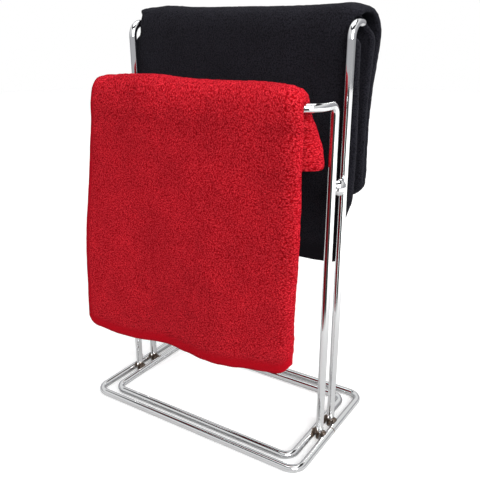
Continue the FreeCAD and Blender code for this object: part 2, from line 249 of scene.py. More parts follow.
# %% Floor material
FLOOR_WHITE = 0.80  # its colour for the camera
FLOOR_MATT, FLOOR_MIRRORED = 0.32, 0.60  # its colour for matt surfaces and for metal
grey = map_range(tree, rays["Is Glossy Ray"], (0, 1, FLOOR_MATT, FLOOR_MIRRORED), (-500, 300))
grey = number_math(tree, "MULTIPLY", [no_card, grey], (-300, 300))
tone = mix(tree, "FLOAT", rays["Is Camera Ray"], grey, FLOOR_WHITE, (-100, 200))
lift = number_math(tree, "ADD", [for_camera, for_metal], (-100, -300))
paint = node(tree, "ShaderNodeBsdfDiffuse", (100, 100), {"Color": tone}).outputs["BSDF"]
light = node(tree, "ShaderNodeEmission", (100, -100), {"Strength": lift}).outputs["Emission"]
both = node(tree, "ShaderNodeAddShader", (400, 0), {0: paint, 1: light}).outputs["Shader"]
node(tree, "ShaderNodeOutputMaterial", (700, 0), {"Surface": both})
floor.data.materials.append(pale_floor)
print("floor material", pale_floor.name)

# %% [markdown]
# ## Room and lamps
# The camera sees plain white all round. Everything else sees a room with light walls, dimmer near
# the floor, and a dark ceiling, which draws the thin dark lines along the lying wires. The room is
# built from colour ramps over the height of each ray, one ramp for the wall that the camera has
# behind it and one for the rest.

# %% Walls and ceiling
WHITE = (1, 1, 1)
DARK = (0.02, 0.02, 0.025)
# 0 is straight down, 0.5 is level and 1 is straight up
FRONT_WALL = [
    (0.0, WHITE),
    (0.50, (0.55, 0.55, 0.57)),
    (0.60, (0.80, 0.80, 0.82)),
    (0.72, WHITE),
    (0.85, WHITE),
    (0.885, DARK),
    (1.0, DARK),
]
OTHER_WALLS = [
    (0.50, (0.42, 0.42, 0.44)),
    (0.68, (0.55, 0.55, 0.57)),
    (0.76, WHITE),
    (0.86, WHITE),
    (0.90, DARK),
]
world = bpy.data.worlds.new("studio")
scene.world = world
world.use_nodes = True
tree = world.node_tree
tree.nodes.clear()
direction = node(tree, "ShaderNodeTexCoord", (-900, 0)).outputs["Generated"]
upwards = node(tree, "ShaderNodeSeparateXYZ", (-700, 0), {0: direction}).outputs["Z"]
height = map_range(tree, upwards, (-1, 1, 0, 1), (-500, 100))
front_wall = ramp(tree, height, FRONT_WALL, (-300, 100))
other_walls = ramp(tree, height, OTHER_WALLS, (-300, -150))
print("walls with", len(FRONT_WALL), "and", len(OTHER_WALLS), "stops")

# %% World
TOWARDS_FRONT = (0.35, -0.93, 0.0)
FRONT_STARTS, FRONT_FULL = -0.1, 0.35  # cosines between a ray and that direction
ROOM_LIGHT = 0.82
facing = vector_math(tree, "DOT_PRODUCT", [direction, TOWARDS_FRONT], (-700, -250))
in_front = map_range(tree, facing, (FRONT_STARTS, FRONT_FULL, 0, 1), (-500, -250))
room = mix(tree, "RGBA", in_front, other_walls, front_wall, (0, 0))
lit_room = node(tree, "ShaderNodeBackground", (300, 100), {"Color": room, "Strength": ROOM_LIGHT})
white_room = node(tree, "ShaderNodeBackground", (300, -100), {"Color": (*WHITE, 1)})
rays = node(tree, "ShaderNodeLightPath", (300, 350)).outputs
shaders = {"Fac": rays["Is Camera Ray"], 1: lit_room.outputs[0], 2: white_room.outputs[0]}
seen = node(tree, "ShaderNodeMixShader", (600, 0), shaders).outputs["Shader"]
node(tree, "ShaderNodeOutputWorld", (900, 0), {"Surface": seen})
print("world", world.name)


# %% Lamps
def add_lamp(name, place, target, width, height, watts):
    lamp = bpy.data.objects.new(name, bpy.data.lights.new(name, "AREA"))
    lamp.data.shape = "RECTANGLE"
    lamp.data.size = width
    lamp.data.size_y = height
    lamp.data.energy = watts
    lamp.location = place
    aim = Vector(target) - Vector(place)
    lamp.rotation_euler = aim.to_track_quat("-Z", "Y").to_euler()
    scene.collection.objects.link(lamp)
    return lamp


add_lamp("key", (1.05, -0.88, 0.90), (0, 0, 0.15), width=0.8, height=1.0, watts=20.3)
add_lamp("overhead", (-0.1, 0.1, 1.7), (0, 0, 0.1), width=1.4, height=1.4, watts=12)
# this one brightens the folds at the right ends of the towels, and metal doesn't mirror it
side = add_lamp("side", (1.30, 0.10, 0.62), (0.09, -0.04, 0.20), width=0.5, height=0.9, watts=8.5)
side.visible_glossy = False

# %% [markdown]
# ## Chrome
# Chrome plate is a mirror with hardly any colour. Fine polishing marks along the wire make its
# reflections a little uneven, so the roughness and the bump vary. Welding has browned the last
# millimetres above the floor, where the uprights stand between the rings. That mask is a node group,
# because the plain chrome and the chrome with a seam both use it.

# %% A mask for what the weld's heat has browned
# the spot's middle is a little inside the upright's foot and above the floor
SPOT = (93.6 * MM, 10 * MM, 4.5 * MM)
SPOT_SQUEEZE = (1.2, 0.8, 1.0)  # so it is shorter in X and longer in Y
SPOT_REACH = 4.9 * MM
SPOT_UNEVEN = 5 * MM
SPOT_FADE = (1.15, 0.7)  # shares of the reach at which it starts and is full
scorch, given, result = new_group(
    "weld_scorch_mask",
    inputs={"Position": "NodeSocketVector", "Reach": "NodeSocketFloat"},
    outputs={"Mask": "NodeSocketFloat"},
)
# all the feet are mirror images of one foot, so the signs of the place are dropped
folded_back = vector_math(scorch, "ABSOLUTE", [given["Position"]], (-900, 0))
from_spot = vector_math(scorch, "SUBTRACT", [folded_back, SPOT], (-700, 0))
squeezed = vector_math(scorch, "MULTIPLY", [from_spot, SPOT_SQUEEZE], (-500, 0))
far = vector_math(scorch, "LENGTH", [squeezed], (-300, 0))
blotch = noise_texture(scorch, given["Position"], scale=420, detail=3, place=(-500, -250))
uneven = number_math(scorch, "MULTIPLY_ADD", [blotch, SPOT_UNEVEN, -SPOT_UNEVEN / 2], (-300, -250))
rough_far = number_math(scorch, "ADD", [far, uneven], (-100, 0))
share = number_math(scorch, "DIVIDE", [rough_far, given["Reach"]], (100, 0))
fill(scorch, result, {"Mask": map_range(scorch, share, (*SPOT_FADE, 0, 1), (300, 0), soft=True)})
print("node group", scorch.name)

# %% A mask for the seam of the outer ring
SEAM = (103.9 * MM, -0.8 * MM, 3.0 * MM)
SEAM_SQUEEZE = (0.05, 1.0, 0.05)  # only the distance along the wire counts for much
SEAM_EDGE = (0.30 * MM, 0.75 * MM)
SEAM_STRENGTH = 0.42


def seam_mask(tree, place):
    """The dull band at the right, where the ends of the outer ring's wire were butt-welded."""
    off_seam = vector_math(tree, "SUBTRACT", [place, SEAM], (-1100, 600))
    squeezed = vector_math(tree, "MULTIPLY", [off_seam, SEAM_SQUEEZE], (-900, 600))
    away = vector_math(tree, "LENGTH", [squeezed], (-700, 600))
    return map_range(tree, away, (*SEAM_EDGE, SEAM_STRENGTH, 0), (-500, 600), soft=True)


print("seam at", SEAM)

# %% Chrome material
CLEAN, BROWNED, BURNT = (0.80, 0.805, 0.81), (0.30, 0.22, 0.16), (0.055, 0.038, 0.028)
BURNT_METALLIC = 0.55
MARRED_ROUGHNESS = 0.4  # on top of the roughness of the polish
POLISH = (0.3, 0.75, 0.035, 0.085)  # the range of the noise, and the roughness that it makes


def chrome_material(name, seamed=False):
    material, tree, shader = new_material(name)
    place = node(tree, "ShaderNodeTexCoord", (-900, 0)).outputs["Object"]
    mask = {"Position": place, "Reach": SPOT_REACH}
    burnt = node(tree, "ShaderNodeGroup", (-600, 200), mask, node_tree=scorch).outputs["Mask"]
    marred = burnt
    if seamed:
        marred = number_math(tree, "MAXIMUM", [burnt, seam_mask(tree, place)], (-400, 400))
    marks = noise_texture(tree, place, scale=260, detail=4, place=(-600, -150))
    polish = map_range(tree, marks, POLISH, (-300, -200))
    values = {
        "Base Color": ramp(tree, marred, [(0.0, CLEAN), (0.45, BROWNED), (1.0, BURNT)], (-300, 250)),
        "Metallic": map_range(tree, burnt, (0, 1, 1, BURNT_METALLIC), (-300, 0)),
        "Roughness": number_math(tree, "MULTIPLY_ADD", [marred, MARRED_ROUGHNESS, polish], (0, -100)),
        "Normal": bump(tree, marks, strength=0.022, distance=0.2 * MM, place=(300, -300)),
    }
    fill(tree, shader, values)
    return material


chrome = chrome_material("chrome_wire")
seamed_chrome = chrome_material("chrome_seamed", seamed=True)
WIRES = ("outer_base_ring", "inner_base_ring", "front_hoop", "rear_hoop", "right_ball", "left_ball")
for name in WIRES:
    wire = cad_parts[name]
    wire.data.materials.clear()
    wire.data.materials.append(seamed_chrome if name == "outer_base_ring" else chrome)
print("chrome on", WIRES)

# %% [markdown]
# ## Welds
# Each foot is held by two beads of weld metal, one against each ring. Heat has left them rough and
# dark brown, with a black scale in the pits. One noise gives the colour, the roughness and the
# lumps, so that they belong together.

# %% Weld material
SCALE, BROWN, BARE = (0.03, 0.024, 0.021), (0.12, 0.088, 0.068), (0.38, 0.33, 0.29)
weld, tree, shader = new_material("weld_scale")
place = node(tree, "ShaderNodeTexCoord", (-800, 0)).outputs["Object"]
grain = noise_texture(tree, place, scale=900, detail=5, place=(-600, 0))
weld_values = {
    "Base Color": ramp(tree, grain, [(0.3, SCALE), (0.55, BROWN), (0.75, BARE)], (-300, 100)),
    "Metallic": 0.8,
    "Roughness": map_range(tree, grain, (0, 1, 0.35, 0.75), (-300, -150)),
    "Normal": bump(tree, grain, strength=0.5, distance=0.5 * MM, place=(300, -300)),
}
fill(tree, shader, weld_values)
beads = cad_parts["foot_welds"]
beads.data.materials.clear()
beads.data.materials.append(weld)
print("weld material on", beads.name)

# %% [markdown]
# ## Terry cloth
# Terry is covered with small loops of yarn that lean in every direction. Seen from a step away they
# make a tangle of short curls over dark pits. The places where a noise crosses its middle value are
# just such winding lines, so three of these are laid over each other. The same height feeds the bump
# and picks the colour, with painted shade in the pits and a painted highlight on the loops' tips. The
# cloth's own UV map is in metres, so the loops keep their size round every fold.

# %% Node group for the loops
CURLS = [((0, 0, 0), 1.0), ((0.31, 0.77, 0), 1.2), ((0.65, 0.12, 0), 1.45)]  # shift, and how much finer
CURL_HALF_WIDTH = 0.105  # how far from its middle value the noise still counts as a curl
CURL_LOWER = 0.16  # how much lower each further set of curls lies
CURL_SHARE, ROOT_SHARE, YARN_SHARE = 0.44, 0.42, 0.36  # of the height
YARN_SCALE, NAP_SCALE = 1900, 38
loops, given, result = new_group(
    "terry_loops",
    inputs={"Cloth": "NodeSocketVector", "Loops per metre": "NodeSocketFloat"},
    outputs={"Height": "NodeSocketFloat", "Patches": "NodeSocketFloat"},
)
cloth, pitch = given["Cloth"], given["Loops per metre"]


def curl_lines(row, offset, finer):
    """The winding lines along which a noise crosses its middle value."""
    top = 300 - 300 * row
    moved = vector_math(loops, "ADD", [cloth, offset], (-1100, top))
    scale = number_math(loops, "MULTIPLY", [pitch, finer], (-1100, top - 150))
    swirl = noise_texture(loops, moved, scale, detail=1.0, place=(-900, top), distortion=0.4)
    level = number_math(loops, "SUBTRACT", [swirl, 0.5], (-700, top))
    off_line = number_math(loops, "ABSOLUTE", [level], (-500, top))
    limits = (0, CURL_HALF_WIDTH, 1 - CURL_LOWER * row, 0)
    return map_range(loops, off_line, limits, (-300, top), soft=True)


tangle, *finer_curls = [curl_lines(row, *curl) for row, curl in enumerate(CURLS)]
for lines in finer_curls:
    tangle = number_math(loops, "MAXIMUM", [tangle, lines], (0, 100))
roots = node(
    loops, "ShaderNodeTexVoronoi", (-300, 600), {"Vector": cloth, "Scale": pitch}, voronoi_dimensions="2D"
)
standing = map_range(loops, roots.outputs["Distance"], (0, 0.8, ROOT_SHARE, 0), (-100, 600))
yarn = noise_texture(loops, cloth, YARN_SCALE, detail=3, place=(-200, -600))
pile = number_math(loops, "MULTIPLY_ADD", [tangle, CURL_SHARE, standing], (200, 50))
pile = number_math(loops, "MULTIPLY_ADD", [yarn, YARN_SHARE, pile], (400, 0))
nap = noise_texture(loops, cloth, NAP_SCALE, detail=3, place=(-200, -450))
fill(loops, result, {"Height": pile, "Patches": nap})
print("node group", loops.name)

# %% Terry material
LOOPS_PER_METRE = 880
NAP = (0.3, 0.7, 0.86, 1.10)  # the range of the noise, and how much it darkens or lightens a patch
HEM_FLATTER = 0.62  # the share of the loops' height that is missing in the hem


def terry_material(name, pit_painted_shade, body, tip_painted_highlight, depth_mm, sheen_weight, sheen_tint, hem_colour):
    material, tree, shader = new_material(name)
    cloth = node(tree, "ShaderNodeUVMap", (-1300, 0), uv_map="cloth").outputs["UV"]
    laid = {"Cloth": cloth, "Loops per metre": LOOPS_PER_METRE}
    pile = node(tree, "ShaderNodeGroup", (-1000, 0), laid, node_tree=loops).outputs
    hem = node(tree, "ShaderNodeAttribute", (-1000, -300), attribute_name="hem").outputs["Fac"]
    # this ramp paints shade into the pits and a highlight on the tips of the loops; the body is the yarn's
    # own colour
    shade = ramp(tree, pile["Height"], [(0.30, pit_painted_shade), (0.58, body), (0.90, tip_painted_highlight)], (-700, 150))
    patch = map_range(tree, pile["Patches"], NAP, (-700, -100))
    scaled = node(tree, "ShaderNodeVectorMath", (-400, 100), {0: shade, "Scale": patch}, operation="SCALE")
    tone = scaled.outputs["Vector"]
    standing = number_math(tree, "MULTIPLY_ADD", [hem, -HEM_FLATTER, 1], (-400, -250))
    relief = number_math(tree, "MULTIPLY", [pile["Height"], standing], (-150, -250))
    values = {
        "Base Color": mix(tree, "RGBA", hem, tone, (*hem_colour, 1), (-150, 100)),
        "Roughness": 0.95,
        "Specular IOR Level": 0.05,
        "Sheen Weight": sheen_weight,
        "Sheen Roughness": 0.32,
        "Sheen Tint": (*sheen_tint, 1),
        "Normal": bump(tree, relief, strength=1.0, distance=depth_mm * MM, place=(200, -250)),
    }
    fill(tree, shader, values)
    return material


red_terry = terry_material(
    "red_terry",
    pit_painted_shade=(0.17, 0.0002, 0.0010),
    body=(0.47, 0.0010, 0.0055),
    tip_painted_highlight=(0.90, 0.0400, 0.0600),
    depth_mm=1.3,
    sheen_weight=0.60,
    sheen_tint=(1.0, 0.025, 0.06),
    hem_colour=(0.47, 0.0035, 0.0110),
)
black_terry = terry_material(
    "black_terry",
    pit_painted_shade=(0.0034, 0.0032, 0.0046),
    body=(0.0084, 0.0080, 0.0115),
    tip_painted_highlight=(0.0235, 0.0230, 0.0300),
    depth_mm=1.0,
    sheen_weight=0.06,
    sheen_tint=(0.6, 0.6, 0.7),
    hem_colour=(0.0095, 0.0090, 0.0120),
)
print("terry materials", red_terry.name, black_terry.name)

# %% [markdown]
# ## How the towels are folded
# A towel is one sheet, and its folds are easiest to get right on paper first. Each point of the flat
# cloth is given by u across and v along. A fold takes the sheet round a half circle, and what comes
# after it runs back one layer further in. So the layers never cross, and the folded towel keeps the
# true size of its cloth. A cloth simulation tends to push such close layers through each other.

# %% The cloth and its grid
LAYER = 2.75 * MM  # the pitch of the layers in a stack
CLOTH = 2.25 * MM  # the thickness of one layer with its loops pressed down
TURN = math.pi * LAYER / 2  # the cloth that the fold of one pair of layers takes up


def cloth_grid(width, length, pitch):
    """u across and v along the flat cloth, at the corners of squares of about this size."""
    u = np.linspace(0, width, round(width / pitch) + 1)[None, :]
    v = np.linspace(0, length, round(length / pitch) + 1)[:, None]
    return u, v


def fold_angle(value, start, length):
    """How far round a fold each point is: 0 before it and half a turn after it."""
    return np.clip((value - start) / length, 0, 1) * math.pi


def distances(line):
    """How far along a line each of its points is."""
    steps = np.linalg.norm(np.diff(line, axis=0), axis=1)
    return np.concatenate([[0], np.cumsum(steps)])


print("layer pitch", LAYER, "m")


# %% Smooth lines and soft steps
def smooth(rows, stations, wanted):
    """Values of a smooth line through the rows, at the wanted places along the stations."""
    rows = np.array(rows, float)
    stations = np.array(stations, float)
    slope = np.gradient(rows, stations, axis=0)
    at = np.clip(np.searchsorted(stations, wanted, side="right") - 1, 0, len(stations) - 2)
    gap = (stations[at + 1] - stations[at])[:, None]
    f = ((wanted - stations[at])[:, None]) / gap
    return (
        (2 * f**3 - 3 * f**2 + 1) * rows[at]
        + (f**3 - 2 * f**2 + f) * gap * slope[at]
        + (3 * f**2 - 2 * f**3) * rows[at + 1]
        + (f**3 - f**2) * gap * slope[at + 1]
    )


def ease(value, limits):
    """0 before the first limit, 1 after the second, and a soft step between them."""
    start, end = limits
    f = np.clip((value - start) / (end - start), 0, 1)
    return f * f * (3 - 2 * f)


def ease_mm(value, limits):
    """The same, with the limits in millimetres."""
    return ease(value, [limit * MM for limit in limits])


def blend(first, second, share):
    return first * (1 - share) + second * share


def through(table, wanted):
    """The second column of a table in millimetres, at the wanted places in its first column."""
    first, second = np.array(table, float).T * MM
    inside = np.clip(wanted, first[0], first[-1])
    return smooth(second[:, None], first, inside.ravel())[:, 0].reshape(inside.shape)


def round_off(value):
    """How far a quarter circle of radius 1 has dropped, from 0 where value is 0 to 1 at 1."""
    value = np.clip(value, 0, 1)
    return 1 - np.sqrt(np.clip(1 - value**2, 0, 1))


print("a soft step at its middle", float(ease(0.5, (0, 1))))

# %% Waves
WAVE_ROW = 0.37  # which slice of the noise is taken
WAVE_STRETCH = 0.7  # waves are longer in Z than in X


def waves(x, z, per_metre, height_mm):
    """Soft, uneven waves over X and Z."""
    flat = []
    for a, b in zip(x.ravel(), z.ravel()):
        flat.append(noise.noise(Vector((a * per_metre, WAVE_ROW, b * per_metre * WAVE_STRETCH))))
    return height_mm * MM * np.array(flat).reshape(x.shape)


def edge_waves(x, per_metre, height_mm):
    """Waves along a sewn edge, over X alone."""
    return waves(x, np.zeros_like(x), per_metre, height_mm)


print("waves are", round(1 / WAVE_STRETCH, 2), "times as long in Z as in X")

# %% [markdown]
# ### The red towel
# It was folded end to end first, and then side to side, with that second fold on the right. It hangs
# low in front, and its short back part stands off because the first fold is springy. The outer and
# the inner face of the stack are drawn as lines in the side view, and the layers share the room
# between them.

# %% Side view of the red towel, in millimetres: outer Y and Z, inner Y and Z
RED_SIDE = [
    (-53.8, 70, -43.0, 70),
    (-53.8, 130, -42.9, 130),
    (-53.8, 190, -42.8, 190),
    (-53.9, 245, -42.8, 245),
    (-53.6, 261, -42.7, 260.5),
    (-51.3, 269.5, -42.0, 264.0),
    (-46.3, 275.0, -40.9, 265.4),
    (-39.3, 276.6, -39.2, 265.6),
    (-32.0, 275.0, -37.4, 265.2),
    (-26.8, 269.5, -36.2, 263.6),
    (-23.4, 261, -35.2, 259.5),
    (-17.8, 247, -33.9, 246),
    (-11.8, 233.5, -32.8, 233.5),
    (-7.5, 221.3, -31.8, 221.7),
]
RED_FRONT_ENDS, RED_FLAP_STARTS, RED_FLAP_FULL = 5, 6, 8  # rows of the side view
print("red side view", len(RED_SIDE), "rows")

# %% Edges of the red towel, in millimetres
# how far left or right the side edges are at which height
RED_LEFT = [
    (60, -102), (100, -100.1), (157, -97.7), (187, -93.6),
    (221, -88.9), (249, -84.8), (267, -83.3), (282, -83.0),
]
RED_RIGHT = [
    (60, 90), (90, 90.4), (112, 90), (134, 90.2), (150, 91),
    (175, 91.8), (231, 91.6), (262, 91.4), (270, 90), (282, 88),
]
RED_FLAP_LEFT = -83.5
RED_FLAP_RIGHT = [(210, 91.2), (219.5, 91.8), (229, 92.4), (240, 91.2), (248, 89.4), (255, 87.6), (282, 88.0)]
# how much higher the ridge is at which X
RED_RIDGE = [
    (-84, -0.8), (-70, 0.3), (-42, 1.6), (-28, 1.7), (-4, 0.1),
    (30, 0.3), (54, 0.6), (74, -0.2), (84, -1.4), (93, -3),
]
RED_RIDGE_HEIGHTS = (245, 272)
# X of the section, how far its hem swings forwards, and how much higher its hem ends
RED_HEM = [
    (-101, 8.0, 1.0),
    (-60.5, 3.0, -2.8),
    (-23.4, 1.0, 1.0),
    (5.0, 4.5, 1.8),
    (25.0, 6.0, 1.6),
    (55.5, 4.0, 5.0),
    (90.0, 1.0, 9.0),
]
RED_SWING_HEIGHTS = (75, 262)
RED_HEM_HEIGHTS = (70, 150)
print("red hem", len(RED_HEM), "sections")

# %% Size of the red cloth
RED_WIDEST_RIGHT, RED_WIDEST_LEFT = 91.6, 91
RED_END_SHORT = 3  # how much shorter the inner end is than the outer one
RED_BULGE = 3 * LAYER  # how far the second fold swells beyond the flat part
RED_WRAP = math.pi * 2 * LAYER  # the cloth that the second fold takes up
red_side = np.array(RED_SIDE) * MM
red_stations = distances((red_side[:, :2] + red_side[:, 2:]) / 2)
red_run = red_stations[-1]
red_flat_across = RED_WIDEST_RIGHT * MM - RED_BULGE + RED_WIDEST_LEFT * MM
red_width = 2 * red_flat_across + RED_WRAP
red_length = 2 * red_run + TURN - RED_END_SHORT * MM
print("red towel, flat", round(red_width, 3), "x", round(red_length, 3), "m")

# %% Fold the red cloth
RED_FOLD_SLOPE = (0.45, -0.9)  # how the first fold runs on past the last row, in Y and Z


def stack_red_layers(u, v):
    """How far along the side view, how far across and how far sideways, and Y and Z of each point."""
    # along the towel: up the outer layer, round the first fold, back down the next one
    angle = fold_angle(v, red_run, TURN)
    in_fold = red_run + np.sin(angle) * LAYER / 2
    along = np.where(v > red_run + TURN, 2 * red_run + TURN - v, in_fold)
    along = np.where(v < red_run, v, along)
    lift = np.cos(angle) * LAYER / 2  # outwards from the middle of a pair of layers
    # across the towel: to the right, round the second fold, back to the left
    angle = fold_angle(u, red_flat_across, RED_WRAP)
    across = np.where(u < red_flat_across + RED_WRAP / 2, u, red_width - u)
    across = np.clip(across / red_flat_across, 0, 1)
    line = smooth(red_side, red_stations, np.clip(along, 0, red_run).ravel())
    outer, inner = line[:, None, :2], line[:, None, 2:]
    room = np.linalg.norm(outer - inner, axis=2)
    reach = room / 2 - LAYER
    # the pair of layers follows half an ellipse, and each layer lies off it along its normal
    out_x = np.sin(angle) / RED_BULGE
    out_depth = np.cos(angle) / np.maximum(reach, 0.1 * MM)
    size = np.sqrt(out_x**2 + out_depth**2)
    sideways = np.sin(angle) * RED_BULGE + lift * out_x / size
    depth = room / 2 - np.cos(angle) * reach - lift * out_depth / size
    point = outer + (inner - outer) * (depth / room)[:, :, None]
    past_end = np.clip(along - red_run, 0, None)
    y = point[:, :, 0] + past_end * RED_FOLD_SLOPE[0]
    z = point[:, :, 1] + past_end * RED_FOLD_SLOPE[1]
    return along, across, sideways, y, z


print("the second fold swells by", round(RED_BULGE / MM, 2), "mm")

# %% Hang the red hem
RED_HEM_PLACES = 60  # the smooth line of the hem is read at so many places
RED_CORNER_RIGHT, RED_RADIUS = 90.5, 11
RED_CORNER_LEFT, RED_LEFT_LONG, RED_LEFT_HIGH = -101.2, 10, 7
RED_WAVES, RED_EDGE_WAVES = (16, 1.1), (95, 0.55)  # per metre, and their height in millimetres


def hang_red_hem(x, y, z, in_front):
    """The hem swings forwards, isn't level, and has round corners. The ridge isn't level either."""
    hem_x, swing, higher = np.array(RED_HEM).T * MM
    places = np.linspace(hem_x[0], hem_x[-1], RED_HEM_PLACES)
    swing = smooth(swing[:, None], hem_x, places)[:, 0]
    higher = smooth(higher[:, None], hem_x, places)[:, 0]
    low = np.where(in_front, 1 - ease_mm(z, RED_SWING_HEIGHTS), 0)
    near_hem = np.where(in_front, 1 - ease_mm(z, RED_HEM_HEIGHTS), 0)
    to_right = (x / MM - (RED_CORNER_RIGHT - RED_RADIUS)) / RED_RADIUS
    to_left = (RED_CORNER_LEFT + RED_LEFT_LONG - x / MM) / RED_LEFT_LONG
    corners = (RED_RADIUS * round_off(to_right) + RED_LEFT_HIGH * round_off(to_left)) * MM
    z = z + (np.interp(x, places, higher) + corners) * near_hem
    y = y - np.interp(x, places, swing) * low
    z = z + through(RED_RIDGE, x) * ease_mm(z, RED_RIDGE_HEIGHTS)
    # soft waves run through all the layers alike, and the sewn edge is a little wavy too
    y = y + waves(x, z, *RED_WAVES) * low
    z = z + edge_waves(x, *RED_EDGE_WAVES) * near_hem
    return y, z


def fold_red_towel(pitch):
    u, v = cloth_grid(red_width, red_length, pitch)
    along, across, sideways, y, z = stack_red_layers(u, v)
    on_flap = ease(along, red_stations[[RED_FLAP_STARTS, RED_FLAP_FULL]])
    left = blend(through(RED_LEFT, z), RED_FLAP_LEFT * MM, on_flap)
    right = blend(through(RED_RIGHT, z), through(RED_FLAP_RIGHT, z), on_flap) - RED_BULGE - LAYER / 2
    x = left + (right - left) * across + sideways
    y, z = hang_red_hem(x, y, z, along < red_stations[RED_FRONT_ENDS])
    return np.stack([x, y, z], axis=2), u, v


red_folded = fold_red_towel(2.1 * MM)
print("red towel", red_folded[0].shape, "points")

# %% [markdown]
# ### The black towel
# This one was folded side to side first, and then end to end, not quite in the middle. So its right
# end shows two rolls beside each other, and the inner ends stop higher than the front hem. One line
# in the side view follows the middle of each pair of layers from the front hem, over the bar, down
# behind, round the fold and back up to the inner end.

# %% Side view of the black towel, in millimetres: Y and Z of the pair, and its share of thickness
BLACK_SIDE = [
    (17.2, 136, 1.0),
    (17.2, 200, 1.0),
    (17.2, 262, 1.0),
    (17.2, 300, 1.0),
    (18.0, 311, 1.0),
    (21.5, 318.2, 0.95),
    (28.0, 321.0, 0.85),
    (38.0, 321.6, 0.75),
    (46.5, 320.3, 0.80),
    (52.8, 315.8, 0.9),
    (56.6, 308.5, 1.0),
    (56.4, 298.0, 1.0),
    (54.2, 284.0, 1.0),
    (51.4, 264.0, 1.0),
    (50.2, 236.0, 1.0),
    (51.2, 205.0, 1.0),
    (50.8, 193.0, 1.0),
    (49.6, 189.3, 1.0),
    (48.0, 188.0, 1.0),
    (46.4, 189.3, 1.0),
    (45.4, 193.0, 1.0),
    (45.6, 206.0, 1.0),
    (45.3, 236.0, 1.0),
    (45.5, 264.0, 1.0),
    (46.3, 286.0, 1.0),
    (46.8, 300.0, 1.0),
    (46.0, 309.5, 0.95),
    (43.0, 315.2, 0.85),
    (38.8, 317.4, 0.74),
    (34.2, 315.6, 0.8),
    (32.6, 308.0, 0.95),
    (32.4, 296.0, 1.0),
    (32.4, 262.0, 1.0),
    (32.6, 220.0, 1.0),
    (32.2, 178.0, 1.0),
]
BLACK_INNER_STARTS, BLACK_INNER_FULL = 25, 28  # rows of the side view
print("black side view", len(BLACK_SIDE), "rows")

# %% Edges of the black towel, in millimetres
BLACK_LEFT, BLACK_RIGHT = -97.4, 96.6
BLACK_FRONT_LEFT = -97.5
# the right edge at each height, behind the bar and in front of it
BEHIND_RIGHT = [(185, 95.6), (222, 95.3), (248, 95.2), (269, 95.8), (288, 96.6), (310, 97.0), (322, 96.0)]
FRONT_RIGHT = [
    (132, 91.4), (150, 91.8), (161, 92.5), (171, 94.2),
    (181, 96.8), (191, 99.3), (200, 99.8), (290, 99.0),
]
# how much higher the ridge and the front hem are at which X
BLACK_RIDGE = [
    (-98, 0.6), (-88, 0.8), (-76, 1.6), (-50, 0.4), (0, 0.0),
    (50, 0.0), (75, 0.8), (86, 1.2), (97, -1.5),
]
BLACK_RIDGE_HEIGHTS = (302, 320)
BLACK_HEM = [(-97, 4.0), (0, 3.4), (60, 4.3), (78, 4.9), (88, 6.2), (93, 8.0)]
BLACK_HEM_HEIGHTS, BLACK_HEM_LENGTHS = (140, 200), (30, 90)
# the front part ends where the line has gone back this far or risen this high
BLACK_FRONT_DEPTHS, BLACK_FRONT_TOPS = (19, 34), (316.5, 320.5)
print("black hem", len(BLACK_HEM), "sections")

# %% Size of the black cloth
black_side = np.array(BLACK_SIDE) * (MM, MM, 1)
black_stations = distances(black_side[:, :2])
black_length = black_stations[-1]
black_across = (BLACK_RIGHT - BLACK_LEFT) * MM - LAYER
black_width = 2 * black_across + TURN
print("black towel, flat", round(black_width, 3), "x", round(black_length, 3), "m")

# %% The black towel between the wires
BETWEEN_ARMS = 92.2  # how far to each side the cloth reaches between the arms
ARM_HEIGHTS = (298.5, 304.5)
INNER_HALF = 86.4  # half the width of the inner end
BEND_STARTS, BEND_RADIUS = 79.5, 13.2  # about where a bend starts in X, and about its inner radius
BEND_SHARE = 0.9  # how far into the bend the cloth reaches at most


def black_edges(line, inner_end):
    """The left and right edge of the pair of layers along the line of the side view."""
    front = (1 - ease_mm(line[:, 0], BLACK_FRONT_DEPTHS)) * (1 - ease_mm(line[:, 1], BLACK_FRONT_TOPS))
    front = front[:, None]
    level = line[:, None, 1]
    # the front part is narrower where it passes between the arms
    at_arms = ease_mm(level, ARM_HEIGHTS)
    front_left = blend(BLACK_FRONT_LEFT * MM, -BETWEEN_ARMS * MM, at_arms)
    front_right = blend(through(FRONT_RIGHT, level), BETWEEN_ARMS * MM, at_arms)
    left = blend(BLACK_LEFT * MM, front_left, front)
    right = blend(through(BEHIND_RIGHT, level), front_right, front) - LAYER / 2
    # the inner end is narrower, so that it hangs inside the bends between the arms and the bar
    left = blend(left, -INNER_HALF * MM, inner_end)
    right = blend(right, INNER_HALF * MM - LAYER / 2, inner_end)
    return left, right


def lean_past_bends(x):
    """How far forwards the inner end leans, where the wire of a bend would meet it."""
    into_bend = np.clip(np.abs(x) - BEND_STARTS * MM, 0, BEND_RADIUS * BEND_SHARE * MM)
    return BEND_RADIUS * MM - np.sqrt((BEND_RADIUS * MM) ** 2 - into_bend**2)


print("the inner end is", 2 * INNER_HALF, "mm wide")

# %% Fold the black cloth
TAIL_STARTS, TAIL_LONG, TAIL_HIGH = 83, 13, 8.5  # the fold at the back rises at its right end
TAIL_HEIGHTS, TAIL_DEPTHS = (190, 222), (42, 45)
BLACK_WAVES, BLACK_EDGE_WAVES = (15, 1.0), (90, 0.5)  # per metre, and their height in millimetres
BLACK_WAVE_SHIFT = 0.4
BLACK_WAVE_DEPTHS = (47, 53)  # in Y, so that only the outer layers behind are wavy


